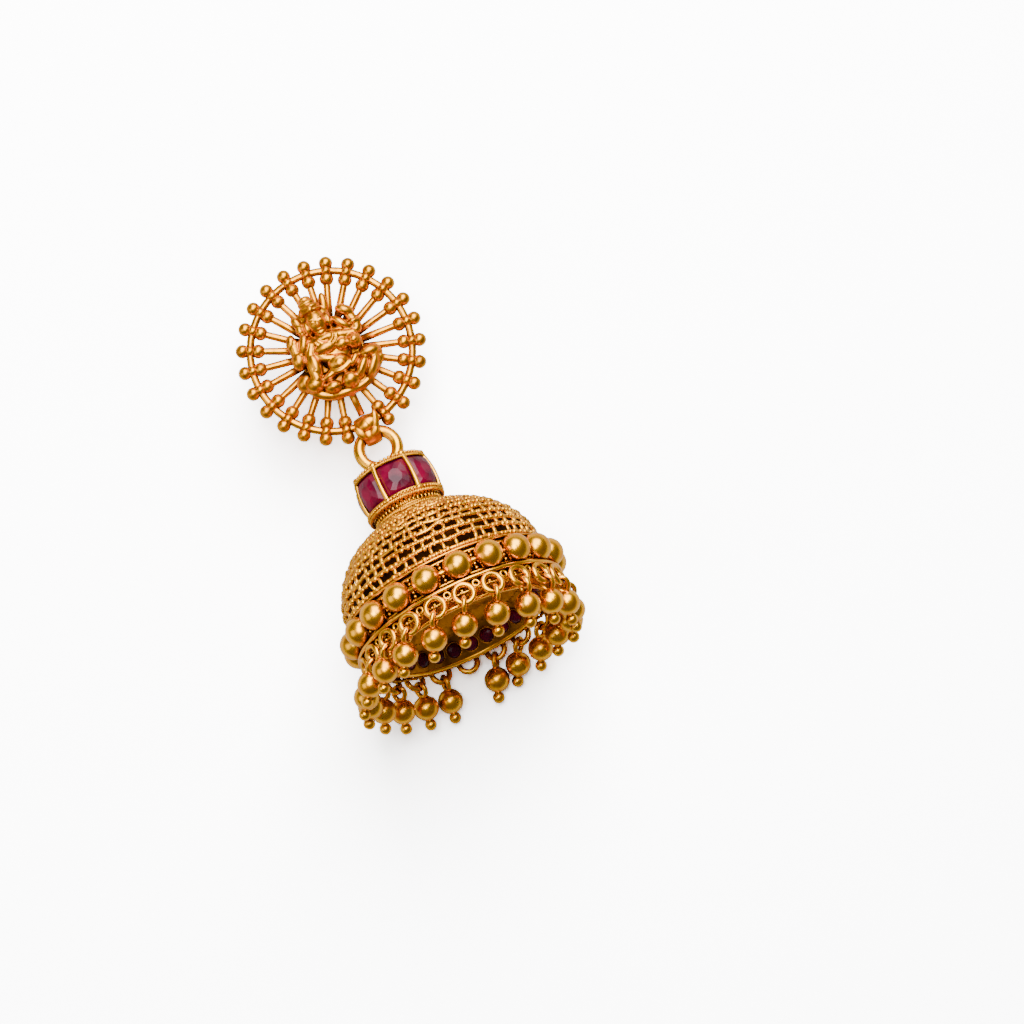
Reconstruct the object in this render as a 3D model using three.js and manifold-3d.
// A jhumka earring in gold-coloured metal with red stones, laid on its side on a table.
// The stud is a wheel of spokes and balls that carries a cast seated figure. A bail on its rim
// holds the ring of a bell: a collar of seven cut stones, a pierced dome, a row of beads, a band
// of small rings with a bead drop on each but one, and a bowl inside the mouth with a cup round it.
// Millimetres, +Z up. The earring lies along Y, the stud at +Y and the mouth of the bell at -Y.
// The stud stands on its screw back, and the bell lies on the two lowest beads of its row.
// The origin is on the table, under the middle of the earring's bounding box.
import * as THREE from "three";
import { mergeVertices } from "three/addons/utils/BufferGeometryUtils.js";
import Module from "manifold-3d";

const wasm = await Module();
wasm.setup();

// Gaps between pieces
const seatGap = 0.12; // between pieces that rest on each other
const ringPlay = 0.2; // between a ring's wire and what it swings on
const solderBite = 0.04; // how far soldered parts run into each other

// Stud wheel
const spokeCount = 25;
const rimRadius = 10.7; // centre line of the rim wire
const rimWireRadius = 0.39;
const spokeRadius = 0.34;
const innerBallRadius = 0.72;
const outerBallRadius = 0.7;
const hubRadius = 4.4;
const hubThickness = 1.0;

// Screw post behind the stud
const postRadius = 0.55;
const lobeSpace = 7.6; // between the hub and the screw back
const screwBackRadius = 3.2;
const screwBackThickness = 1.5;

// Cast figure on the hub
const figureHeight = 13.4;
const figureRelief = 3.2;

// Bail between the rim and the bell's ring
const bailStrapThickness = 0.55;
const bailWidth = 3.0; // at its wide end, round the stud's rim
const bailTongueWidth = 2.2; // inside the bell's ring

// Bell: heights are measured along its axis from the plane of the bead row, towards the crown
const domeRadius = 13.9; // the dome follows an ellipsoid of this radius
const domeRise = 11.2; // and of this height, standing on the bead row's edge
const domeTopRadius = 5.0;
const domeWall = 0.7;
const netColumns = 17;
const netRows = 4;
const netGapShare = 0.5; // how much of each cell is open, along and across

const beadCount = 20;
const beadRadius = 1.86;
const beadCircleRadius = 14.1;
const beadStringRadius = 0.45; // wire that the beads are soldered to
const hoopThickness = 0.4; // plain edge above the beads, and the flat hoop below them

const ringCount = 22;
const emptyRing = 11; // this one carries no drop
const firstRingAngle = 5.5; // degrees from the uppermost point of the lying bell
const ringCircleRadius = 14.2;
const ringRadius = 1.25;
const ringWireRadius = 0.3;

const linkHalfLength = 0.95;
const linkHalfWidth = 0.8;
const linkWireRadius = 0.25;
const dropBeadRadius = 1.7;
const dropTipRadius = 0.78;
const dropSag = 22; // degrees below the level, unless the table holds the bead up
const dropSwing = 21; // degrees to the left of the bell's axis, on average
const dropSwingAbove = 4; // and more of it on the bell's upper side,
const dropSwingLeft = 9; // on its left side
const dropSwingCorner = 8; // and at its lower right, less at its lower left
const dropUnevenness = 1.5;

const crownHeight = 5.9; // from the neck to the top plate
const neckHeight = 1.6;
const neckRadius = 4.4;
const neckFlare = 0.25; // how far its foot reaches past the dome's top
const collarFlangeRadius = 5.3;
const collarTopRadius = 4.9;
const collarPlateThickness = 0.7;
const crownStoneCount = 7;
const crownBarRadius = 0.28;
const crownBarCircle = 5.25;
const crownTurn = 3.5; // degrees that the first stone is turned from the uppermost point
const stoneWidth = 3.75;
const stoneDepth = 2.2;
const stoneBevel = 0.95;
const hangRingRadius = 2.54;
const hangRingWireRadius = 0.75;

const bowlRimRadius = 11.3;
const bowlWall = 0.5;
const bowlDepth = 5.2;
const bowlFlangeHeight = 1.8; // from the bowl's rim back to its outer edge
const cupGap = 0.5; // between the net and the cup that stands on the bowl's edge behind it
const cupTopRadius = 3.0; // the cup is open at its top, under the neck

// Everything below is worked out from these sizes
const degrees = THREE.MathUtils.degToRad;
const turn = 2 * Math.PI;

const innerBallCircle = rimRadius - rimWireRadius - innerBallRadius + solderBite;
const outerBallCircle = rimRadius + rimWireRadius + outerBallRadius - solderBite;
const studHeight = screwBackThickness + lobeSpace + hubThickness / 2;
const rimSag = rimRadius - Math.sqrt(rimRadius ** 2 - (bailWidth / 2) ** 2); // across the bail
const bailTopReach = rimRadius - rimSag - rimWireRadius - seatGap - bailStrapThickness;
const bareSpokeEnd = bailTopReach - seatGap; // the spoke behind the bail stops short of it

const spokePitch = turn / spokeCount;
const beadPitch = turn / beadCount;
const netBottomHeight = beadRadius + seatGap + hoopThickness; // the net stands on its own hoop
const netTopPolar = Math.asin(domeTopRadius / domeRadius); // from the dome's axis
const domeTopHeight = netBottomHeight + domeRise * Math.cos(netTopPolar);
const neckBottomHeight = domeTopHeight + seatGap;
const collarBottomHeight = neckBottomHeight + neckHeight;
const crownTopHeight = collarBottomHeight + crownHeight;
const stoneSpace = crownHeight - 2 * collarPlateThickness;
const stoneHeight = stoneSpace - 2 * seatGap;
const stoneMiddleHeight = collarBottomHeight + crownHeight / 2;
const stoneTableRadius = crownBarCircle + crownBarRadius; // the tables lie level with the bars
const hangRingHeight = crownTopHeight + hangRingRadius + hangRingWireRadius - 2 * solderBite;
const hangPointHeight = hangRingHeight + hangRingRadius; // the wire that the bail holds

const ringBandHeight = -beadRadius - seatGap;
const ringHeight = ringBandHeight - hoopThickness - ringRadius - ringWireRadius + 2 * solderBite;
const bowlRimHeight = ringHeight - ringWireRadius;
const ringBandInnerRadius = ringCircleRadius - 2 * ringWireRadius;
const bowlFlangeRadius = ringBandInnerRadius * Math.cos(Math.PI / ringCount) - seatGap;

// How far the bell's mouth tips up when its hang point is held as high as the stud's rim
const lowestBeadReach = beadCircleRadius * Math.cos(beadPitch / 2);
const lyingTilt =
  Math.acos((studHeight - beadRadius) / Math.hypot(lowestBeadReach, hangPointHeight)) -
  Math.atan2(hangPointHeight, lowestBeadReach);
const bellHeight = lowestBeadReach * Math.cos(lyingTilt) + beadRadius;
const hangGap = rimWireRadius + ringPlay + hangRingWireRadius; // rim wire to hang point
const studAlong = hangPointHeight * Math.cos(lyingTilt) + hangGap + rimRadius;

const gold = new THREE.MeshStandardMaterial({ color: 0xd79a3c, roughness: 0.32, metalness: 1.0 });
const darkGold = new THREE.MeshStandardMaterial({ color: 0xa86a1c, roughness: 0.42, metalness: 1.0 });
const ruby = new THREE.MeshStandardMaterial({ color: 0x8c0a34, roughness: 0.08, metalness: 0.0 });

// A closed three.js geometry as a solid that can be joined and cut
function solid(geometry) {
  const bare = geometry.index ? geometry.toNonIndexed() : geometry.clone();
  const positionOnly = new THREE.BufferGeometry();
  positionOnly.setAttribute("position", bare.getAttribute("position"));
  const merged = mergeVertices(positionOnly, 1e-4);
  return new wasm.Manifold(
    new wasm.Mesh({
      numProp: 3,
      vertProperties: merged.attributes.position.array,
      triVerts: new Uint32Array(merged.index.array),
    }),
  );
}

function join(geometries) {
  return wasm.Manifold.union(geometries.map(solid));
}

// A solid as a named mesh
function piece(name, shape, material) {
  const made = shape.getMesh();
  const geometry = new THREE.BufferGeometry();
  geometry.setAttribute("position", new THREE.BufferAttribute(made.vertProperties, 3));
  geometry.setIndex(new THREE.BufferAttribute(made.triVerts, 1));
  geometry.computeVertexNormals();
  const mesh = new THREE.Mesh(geometry, material);
  mesh.name = name;
  return mesh;
}

function ball(radius, sides, bands, x = 0, y = 0, z = 0) {
  return new THREE.SphereGeometry(radius, sides, bands).translate(x, y, z);
}

// A closed ring turned about Z from a cross-section of [radius, height] points
function turned(section, sides) {
  const points = section.map(([radius, height]) => new THREE.Vector2(radius, height));
  const closed = section[0][0] === 0 ? points : [...points, points[0].clone()];
  return new THREE.LatheGeometry(closed, sides).rotateX(Math.PI / 2);
}

// Outline of a round bead about Z, faceted to a barrel that stays close to the bead's radius
function beadOutline(radius) {
  return [
    [0, -radius],
    [radius * 0.94, -radius * 0.4],
    [radius * 0.94, radius * 0.4],
    [0, radius],
  ];
}

// A flat hoop about Z between two radii and two heights
function hoop(innerRadius, outerRadius, low, high, sides) {
  const section = [
    [outerRadius, low],
    [outerRadius, high],
    [innerRadius, high],
    [innerRadius, low],
  ];
  return turned(section, sides);
}

// A point at an angle from the uppermost point of the bell as it lies, at a radius and a height
function aroundBell(angle, radius, height) {
  return new THREE.Vector3(radius * Math.sin(angle), -radius * Math.cos(angle), height);
}

// One spoke along +Y with its inner and outer ball, or a bare one that ends behind the bail
function spoke(isBehindBail) {
  const section = [
    [0, hubRadius * 0.8],
    [spokeRadius, hubRadius * 0.8],
  ];
  if (isBehindBail) {
    section.push([spokeRadius, bareSpokeEnd], [0, bareSpokeEnd]);
  } else {
    section.push(
      [spokeRadius, innerBallCircle - innerBallRadius],
      [innerBallRadius, innerBallCircle],
      [spokeRadius, rimRadius],
      [outerBallRadius, outerBallCircle],
      [0, outerBallCircle + outerBallRadius],
    );
  }
  const points = section.map(([radius, along]) => new THREE.Vector2(radius, along));
  return new THREE.LatheGeometry(points, 4);
}

function sunburstWheel() {
  const parts = [
    new THREE.TorusGeometry(rimRadius, rimWireRadius, 5, spokeCount).rotateZ(-spokePitch / 4),
    new THREE.CylinderGeometry(hubRadius, hubRadius, hubThickness, 16).rotateX(Math.PI / 2),
  ];
  for (let i = 0; i < spokeCount; i++) {
    parts.push(spoke(i === 0).rotateZ(-Math.PI - i * spokePitch));
  }
  return piece("sunburst_wheel", join(parts), gold);
}

// Ear post with its closed screw back, as one plain piece standing on the table
function earPost() {
  const postTop = -hubThickness / 2 - seatGap;
  const backTop = -hubThickness / 2 - lobeSpace;
  const section = [
    [0, -studHeight],
    [screwBackRadius, -studHeight],
    [screwBackRadius, backTop],
    [postRadius, backTop],
    [postRadius, postTop],
    [0, postTop],
  ];
  return piece("ear_post", solid(turned(section, 12)), gold);
}

// Rounded masses of the seated figure: where each sits and its half sizes. X, Y and the sizes
// across are shares of the figure's height, Z and deep are shares of its relief.
const figureMasses = [
  { part: "lotus seat", x: 0.01, y: -0.3, z: 0.2, wide: 0.37, tall: 0.14, deep: 0.3 },
  { part: "body", x: 0.01, y: -0.06, z: 0.44, wide: 0.17, tall: 0.23, deep: 0.42 },
  { part: "shoulders", x: 0.01, y: 0.08, z: 0.4, wide: 0.21, tall: 0.1, deep: 0.34 },
  { part: "head", x: -0.01, y: 0.27, z: 0.5, wide: 0.11, tall: 0.14, deep: 0.46 },
  { part: "headdress", x: -0.035, y: 0.44, z: 0.42, wide: 0.1, tall: 0.13, deep: 0.36 },
  { part: "left bud", x: -0.31, y: 0.22, z: 0.36, wide: 0.075, tall: 0.1, deep: 0.32 },
  { part: "right bud", x: 0.285, y: 0.28, z: 0.36, wide: 0.1, tall: 0.075, deep: 0.32 },
  { part: "right hand", x: 0.22, y: -0.05, z: 0.5, wide: 0.085, tall: 0.08, deep: 0.34 },
];

// Limbs of the figure, each a rounded bar between two points, in the same shares
const figureLimbs = [
  { part: "left raised upper arm", from: [-0.12, 0.1, 0.34], to: [-0.3, 0.05, 0.3], radius: 0.06 },
  { part: "left raised forearm", from: [-0.3, 0.05, 0.3], to: [-0.31, 0.19, 0.34], radius: 0.055 },
  { part: "right raised upper arm", from: [0.12, 0.1, 0.34], to: [0.31, 0.08, 0.3], radius: 0.06 },
  { part: "right raised forearm", from: [0.31, 0.08, 0.3], to: [0.29, 0.25, 0.34], radius: 0.055 },
  { part: "left lower arm", from: [-0.14, 0.04, 0.5], to: [-0.22, -0.2, 0.58], radius: 0.06 },
  { part: "right lower arm", from: [0.14, 0.06, 0.5], to: [0.22, -0.05, 0.55], radius: 0.06 },
  { part: "left leg", from: [-0.3, -0.25, 0.46], to: [0.08, -0.26, 0.62], radius: 0.085 },
  { part: "right leg", from: [0.34, -0.22, 0.46], to: [-0.02, -0.26, 0.5], radius: 0.085 },
];

const lotusPetals = 7;
const lotusRadius = 0.395; // from the stud's middle, as a share of the figure's height
const lotusFan = 58; // degrees to each side of straight down

function figureMass({ x, y, z, wide, tall, deep }) {
  return ball(1, 6, 4)
    .rotateX(Math.PI / 2)
    .scale(wide * figureHeight, tall * figureHeight, deep * figureRelief)
    .translate(x * figureHeight, y * figureHeight, z * figureRelief);
}

function figureLimb({ from, to, radius }) {
  const place = ([x, y, z]) =>
    new THREE.Vector3(x * figureHeight, y * figureHeight, z * figureRelief);
  const start = place(from);
  const along = place(to).sub(start);
  const facing = new THREE.Quaternion().setFromUnitVectors(
    new THREE.Vector3(0, 1, 0),
    along.clone().normalize(),
  );
  return new THREE.CapsuleGeometry(radius * figureHeight, along.length(), 1, 5)
    .applyQuaternion(facing)
    .translate(...start.addScaledVector(along, 0.5));
}

// Round petals form a crescent under the figure, each pointing out from the stud's middle
function lotusPetal(index) {
  const fan = degrees(-lotusFan + (2 * lotusFan * index) / (lotusPetals - 1));
  return ball(1, 6, 4)
    .scale(0.088 * figureHeight, 0.12 * figureHeight, 0.44 * figureRelief)
    .translate(0, -lotusRadius * figureHeight, 0.26 * figureRelief)
    .rotateZ(fan);
}

function goddessRelief() {
  const petals = Array.from({ length: lotusPetals }, (_, index) => lotusPetal(index));
  const body = join([...figureMasses.map(figureMass), ...figureLimbs.map(figureLimb), ...petals]);
  const backed = body.trimByPlane([0, 0, 1], 0); // its back is flat
  const mesh = piece("goddess_relief", backed, gold);
  mesh.position.z = hubThickness / 2 + seatGap;
  return mesh;
}

// Leaves on the front of the bail: where each sits from the rim's lowest point, and its half
// sizes, as shares of the bail's width, with its lean in degrees
const bailLeaves = [
  { part: "petal", across: 0.03, along: 0.12, wide: 0.43, long: 0.28, lean: 12 },
  { part: "left leaf", across: -0.4, along: 0.35, wide: 0.17, long: 0.33, lean: 22 },
  { part: "right leaf", across: 0.4, along: 0.13, wide: 0.17, long: 0.45, lean: -18 },
];

// A strap that wraps the rim wire and the bell's ring, with leaves on its front
function bail() {
  const slotHalf = Math.max(rimWireRadius, hangRingWireRadius) + ringPlay;
  const rimSide = -rimRadius;
  const upperEnd = -bailTopReach - slotHalf - bailStrapThickness;
  const ringSag = hangRingRadius - Math.sqrt(hangRingRadius ** 2 - (bailTongueWidth / 2) ** 2);
  const lowerEnd = -(rimRadius + hangGap) - ringSag;
  const stadium = (path, radius) => {
    path.absarc(upperEnd, 0, radius, -Math.PI / 2, Math.PI / 2, false);
    path.absarc(lowerEnd, 0, radius, Math.PI / 2, (3 * Math.PI) / 2, false);
    path.closePath();
    return path;
  };
  const outline = stadium(new THREE.Shape(), slotHalf + bailStrapThickness);
  outline.holes.push(stadium(new THREE.Path(), slotHalf));
  const strap = new THREE.ExtrudeGeometry(outline, {
    depth: 1,
    curveSegments: 4,
    bevelEnabled: false,
    steps: 1,
  });
  // the outline was drawn along X: turn it to run along Y and spread it across X
  strap.translate(0, 0, -0.5).rotateY(Math.PI / 2).rotateX(Math.PI / 2);
  const positions = strap.getAttribute("position");
  const fullFrom = -(rimRadius + hangGap) + slotHalf;
  for (let i = 0; i < positions.count; i++) {
    const share = THREE.MathUtils.clamp((rimSide - positions.getY(i)) / (rimSide - fullFrom), 0, 1);
    const width = THREE.MathUtils.lerp(bailWidth, bailTongueWidth, share);
    positions.setX(i, positions.getX(i) * width);
  }
  const leaves = bailLeaves.map(({ across, along, wide, long, lean }) =>
    ball(1, 8, 5)
      .scale(wide * bailWidth, long * bailWidth, bailStrapThickness * 0.9)
      .rotateZ(degrees(lean))
      .translate(across * bailWidth, rimSide - along * bailWidth, slotHalf + bailStrapThickness),
  );
  return piece("bail", join([strap, ...leaves]), gold);
}

// One bar between two stones, bowed out from plate to plate, on the bell's uppermost side
function crownBar() {
  const lowRadius = collarFlangeRadius - crownBarRadius;
  const highRadius = collarTopRadius - crownBarRadius;
  const low = new THREE.Vector3(0, -lowRadius, collarBottomHeight + crownBarRadius);
  const high = new THREE.Vector3(0, -highRadius, crownTopHeight + crownBarRadius);
  const bow = new THREE.Vector3(0, -2 * crownBarCircle + (lowRadius + highRadius) / 2, stoneMiddleHeight);
  const corners = [0, 1, 2, 3, 4].map((i) => {
    const angle = (i * turn) / 5;
    return new THREE.Vector2(crownBarRadius * Math.cos(angle), crownBarRadius * Math.sin(angle));
  });
  return new THREE.ExtrudeGeometry(new THREE.Shape(corners), {
    steps: 3,
    bevelEnabled: false,
    extrudePath: new THREE.QuadraticBezierCurve3(low, bow, high),
  });
}

// Hanging ring, plates, bars and neck of the stone collar, soldered into one frame
function crownFrame() {
  const coreRadius = stoneTableRadius - stoneDepth - seatGap;
  const sides = 2 * crownStoneCount;
  const lowPlateTop = collarBottomHeight + collarPlateThickness;
  const topPlateBottom = crownTopHeight - collarPlateThickness;
  const section = [
    [0, neckBottomHeight],
    [domeTopRadius + neckFlare, neckBottomHeight],
    [neckRadius, neckBottomHeight + neckHeight * 0.4],
    [neckRadius, neckBottomHeight + neckHeight * 0.7],
    [collarFlangeRadius, collarBottomHeight + collarPlateThickness * 0.3],
    [collarFlangeRadius, lowPlateTop],
    [coreRadius, lowPlateTop],
    [coreRadius, topPlateBottom],
    [collarTopRadius, topPlateBottom],
    [collarTopRadius - collarPlateThickness * 0.3, crownTopHeight],
    [0, crownTopHeight],
  ];
  const parts = [turned(section, sides)];
  for (let i = 0; i < crownStoneCount; i++) {
    const angle = degrees(crownTurn) + ((i + 0.5) * turn) / crownStoneCount;
    parts.push(crownBar().rotateZ(angle));
  }
  parts.push(
    new THREE.TorusGeometry(hangRingRadius, hangRingWireRadius, 6, 16)
      .rotateX(Math.PI / 2)
      .translate(0, 0, hangRingHeight),
  );
  return piece("crown_frame", join(parts), gold);
}

// A cushion stone with cut corners: a table, eight bevels in front and eight behind
function crownStone(index) {
  const halfWide = stoneWidth / 2;
  const halfHigh = stoneHeight / 2;
  const corner = stoneWidth * 0.26;
  const outline = new THREE.Shape();
  outline.moveTo(halfWide, -halfHigh + corner);
  outline.lineTo(halfWide, halfHigh - corner);
  outline.lineTo(halfWide - corner, halfHigh);
  outline.lineTo(-halfWide + corner, halfHigh);
  outline.lineTo(-halfWide, halfHigh - corner);
  outline.lineTo(-halfWide, -halfHigh + corner);
  outline.lineTo(-halfWide + corner, -halfHigh);
  outline.lineTo(halfWide - corner, -halfHigh);
  outline.closePath();
  const bevelDepth = stoneDepth * 0.4;
  const stone = new THREE.ExtrudeGeometry(outline, {
    depth: stoneDepth - 2 * bevelDepth,
    bevelEnabled: true,
    bevelThickness: bevelDepth,
    bevelSize: stoneBevel,
    bevelOffset: -stoneBevel,
    bevelSegments: 1,
  });
  stone.translate(0, 0, stoneTableRadius - stoneDepth + bevelDepth).rotateX(Math.PI / 2);
  stone.translate(0, 0, stoneMiddleHeight);
  stone.rotateZ(degrees(crownTurn) + (index * turn) / crownStoneCount);
  return piece(`crown_stone_${index + 1}`, solid(stone), ruby);
}

// Dome shell, built as a net: every cell has a frame on its outer and inner face, and four
// walls through the shell around the gap. Below the net is a plain edge.
function domeNet() {
  const polarStep = (turn / 4 - netTopPolar) / netRows;
  const columnStep = turn / netColumns;
  const positions = [];
  const indices = [];
  const place = (column, flat, height) => {
    const angle = column * columnStep;
    positions.push(flat * Math.cos(angle), flat * Math.sin(angle), height);
    return positions.length / 3 - 1;
  };
  const point = (column, row, inset) => {
    const polar = turn / 4 - row * polarStep;
    const height = netBottomHeight + (domeRise - inset) * Math.cos(polar);
    return place(column, (domeRadius - inset) * Math.sin(polar), height);
  };
  // a point of the plain edge's foot, straight below the shell's edge
  const foot = (column, inset) =>
    place(column, domeRadius - inset, netBottomHeight - hoopThickness);
  const quad = (a, b, c, d) => indices.push(a, b, c, a, c, d);
  const margin = (1 - netGapShare) / 2;
  const corners = (column, row, border, inset) => [
    point(column + border, row + border, inset),
    point(column + 1 - border, row + border, inset),
    point(column + 1 - border, row + 1 - border, inset),
    point(column + border, row + 1 - border, inset),
  ];
  const faces = [0, domeWall]; // how far in from the dome's outside
  for (let column = 0; column < netColumns; column++) {
    for (let row = 0; row < netRows; row++) {
      const frames = faces.map((inset) => corners(column, row, 0, inset));
      const gaps = faces.map((inset) => corners(column, row, margin, inset));
      for (let side = 0; side < 4; side++) {
        const next = (side + 1) % 4;
        quad(frames[0][side], frames[0][next], gaps[0][next], gaps[0][side]);
        quad(frames[1][next], frames[1][side], gaps[1][side], gaps[1][next]);
        quad(gaps[0][side], gaps[0][next], gaps[1][next], gaps[1][side]);
      }
    }
    const [outer, inner] = faces;
    const next = column + 1;
    quad(point(next, 0, outer), point(column, 0, outer), foot(column, outer), foot(next, outer));
    quad(foot(next, outer), foot(column, outer), foot(column, inner), foot(next, inner));
    quad(foot(next, inner), foot(column, inner), point(column, 0, inner), point(next, 0, inner));
    quad(
      point(column, netRows, outer),
      point(next, netRows, outer),
      point(next, netRows, inner),
      point(column, netRows, inner),
    );
  }
  const net = new THREE.BufferGeometry();
  net.setAttribute("position", new THREE.Float32BufferAttribute(positions, 3));
  net.setIndex(indices);
  return piece("dome_net", solid(net), gold);
}

// Round beads soldered to a wire through them; two beads straddle the lowest point
function beadRow() {
  const parts = [
    new THREE.TorusGeometry(beadCircleRadius, beadStringRadius, 4, beadCount).rotateZ(beadPitch / 2),
  ];
  for (let i = 0; i < beadCount; i++) {
    parts.push(
      turned(beadOutline(beadRadius), 10)
        .rotateZ(Math.PI / 2)
        .translate(0, -beadCircleRadius, 0)
        .rotateZ((i + 0.5) * beadPitch),
    );
  }
  return piece("bead_row", join(parts), gold);
}

const ringAngle = (index) => degrees(firstRingAngle) + (index * turn) / ringCount;

// Small rings, each facing outwards, soldered under a hoop
function ringBand() {
  const bandOuter = ringCircleRadius + ringWireRadius;
  const parts = [
    hoop(ringBandInnerRadius, bandOuter, ringBandHeight - hoopThickness, ringBandHeight, ringCount),
  ];
  for (let i = 0; i < ringCount; i++) {
    parts.push(
      new THREE.TorusGeometry(ringRadius, ringWireRadius, 5, 10)
        .rotateZ(Math.PI / 2)
        .rotateX(Math.PI / 2)
        .translate(0, -ringCircleRadius, ringHeight)
        .rotateZ(ringAngle(i)),
    );
  }
  return piece("ring_band", join(parts), gold);
}

// A point of the cup behind the net, which follows the dome's inside
function cupPoint(polar, inset) {
  const gap = domeWall + cupGap + inset;
  return [(domeRadius - gap) * Math.sin(polar), netBottomHeight + (domeRise - gap) * Math.cos(polar)];
}

// Shallow bowl inside the mouth, whose wall carries round stones too small to be built here. From
// its edge a thin cup rises behind the beads and the net, and hides the bowl's back.
function stoneBowl() {
  const outerHeight = bowlRimHeight + bowlFlangeHeight;
  const wallTop = bowlRimHeight + bowlDepth * 0.55;
  const wallTopRadius = bowlRimRadius * 0.86;
  const middleHeight = bowlRimHeight + bowlDepth;
  const cupFootRadius = beadCircleRadius - beadRadius - ringPlay;
  const cupTopPolar = Math.asin(cupTopRadius / (domeRadius - domeWall - cupGap));
  const cupPolars = [0, 1, 2, 3].map((row) => THREE.MathUtils.lerp(degrees(76), cupTopPolar, row / 3));
  const section = [
    [0, middleHeight],
    [wallTopRadius, wallTop],
    [bowlRimRadius - bowlWall / 2, bowlRimHeight],
    [bowlRimRadius + bowlWall / 2, bowlRimHeight],
    [bowlFlangeRadius, outerHeight],
    [bowlFlangeRadius, outerHeight + bowlWall],
    [cupFootRadius, outerHeight + bowlWall],
    [cupFootRadius, beadRadius * 0.6],
    ...cupPolars.map((polar) => cupPoint(polar, 0)),
    ...cupPolars.toReversed().map((polar) => cupPoint(polar, bowlWall)),
    [cupFootRadius - bowlWall, beadRadius * 0.6],
    [cupFootRadius - bowlWall, wallTop + bowlWall],
    [wallTopRadius, wallTop + bowlWall],
    [0, middleHeight + bowlWall],
  ];
  return piece("stone_bowl", solid(turned(section, 18)), darkGold);
}

// The way a drop points: mostly towards the mouth, swung a little and sagging to the table
function dropDirection(angle, index, ringCentreHeight) {
  const swing =
    dropSwing +
    dropSwingAbove * Math.cos(angle) -
    dropSwingLeft * Math.sin(angle) -
    dropSwingCorner * Math.sin(2 * angle) * (1 - Math.cos(angle)) +
    dropUnevenness * Math.sin(2.9 * index);
  const reach = dropBeadDistance;
  const tableSag = Math.asin(THREE.MathUtils.clamp((ringCentreHeight - dropBeadRadius) / reach, 0, 1));
  const sag = Math.min(degrees(dropSag), tableSag);
  const across = -Math.cos(sag) * Math.sin(degrees(swing));
  const along = -Math.cos(sag) * Math.cos(degrees(swing));
  return new THREE.Vector3(across, along, -Math.sin(sag));
}

const linkReach = ringWireRadius + ringPlay * 0.6 + linkWireRadius; // ring wire to link's near end
const beadFromHold = 2 * linkHalfLength - linkReach + dropBeadRadius - 2 * solderBite;
const dropBeadDistance = ringRadius + beadFromHold; // ring centre to bead centre

// Link, bead and tip in the drop's own frame: Z along the drop, the ring's wire along Y at 0
function dropShape() {
  const tipHeight = dropBeadRadius + dropTipRadius * 0.82;
  const section = [
    ...beadOutline(dropBeadRadius).slice(0, 3),
    [dropTipRadius, tipHeight],
    [0, tipHeight + dropTipRadius],
  ];
  const bead = turned(section, 10).translate(0, 0, beadFromHold);
  const link = new THREE.TorusGeometry(1, linkWireRadius, 5, 10);
  const positions = link.getAttribute("position");
  const spot = new THREE.Vector3();
  for (let i = 0; i < positions.count; i++) {
    spot.fromBufferAttribute(positions, i);
    const flat = Math.hypot(spot.x, spot.y);
    const wire = flat - 1; // how far this point is from the link's centre line, in its plane
    const [c, s] = [spot.x / flat, spot.y / flat];
    positions.setXYZ(i, s * (linkHalfWidth + wire), spot.z, c * (linkHalfLength + wire));
  }
  return [bead, link.translate(0, 0, linkHalfLength - linkReach)];
}

const bell = new THREE.Group();
bell.rotation.x = -Math.PI / 2 - lyingTilt;
bell.position.z = bellHeight;
bell.updateMatrixWorld(true);

// A drop hung on one ring of the band, placed straight in the earring's frame
function drop(index, number) {
  const angle = ringAngle(index);
  const toEarring = (point) => point.applyMatrix4(bell.matrixWorld);
  const centre = toEarring(aroundBell(angle, ringCircleRadius, ringHeight));
  const outward = aroundBell(angle, 1, 0).transformDirection(bell.matrixWorld);
  const way = dropDirection(angle, index, centre.z);
  const inPlane = way.clone().addScaledVector(outward, -way.dot(outward)).normalize();
  const hold = centre.clone().addScaledVector(inPlane, ringRadius * 0.975); // the ring is faceted
  const wireAlong = new THREE.Vector3().crossVectors(outward, inPlane).normalize();
  const side = new THREE.Vector3().crossVectors(wireAlong, way).normalize();
  const place = new THREE.Matrix4().makeBasis(side, wireAlong, way).setPosition(hold);
  const parts = dropShape().map((geometry) => geometry.applyMatrix4(place));
  return piece(`drop_${String(number).padStart(2, "0")}`, join(parts), gold);
}

const stud = new THREE.Group();
stud.add(sunburstWheel(), earPost(), goddessRelief(), bail());
stud.position.set(0, studAlong, studHeight);

bell.add(crownFrame(), domeNet(), beadRow(), ringBand(), stoneBowl());
for (let i = 0; i < crownStoneCount; i++) bell.add(crownStone(i));

const drops = new THREE.Group();
let dropNumber = 0;
for (let i = 0; i < ringCount; i++) {
  if (i === emptyRing) continue;
  dropNumber += 1;
  drops.add(drop(i, dropNumber));
}

const earring = new THREE.Group();
earring.add(stud, bell, drops);
const extent = new THREE.Box3().setFromObject(earring, true);
const middle = extent.getCenter(new THREE.Vector3());
earring.position.set(-middle.x, -middle.y, -extent.min.z);

const jhumka = new THREE.Group();
jhumka.add(earring);

export default jhumka;
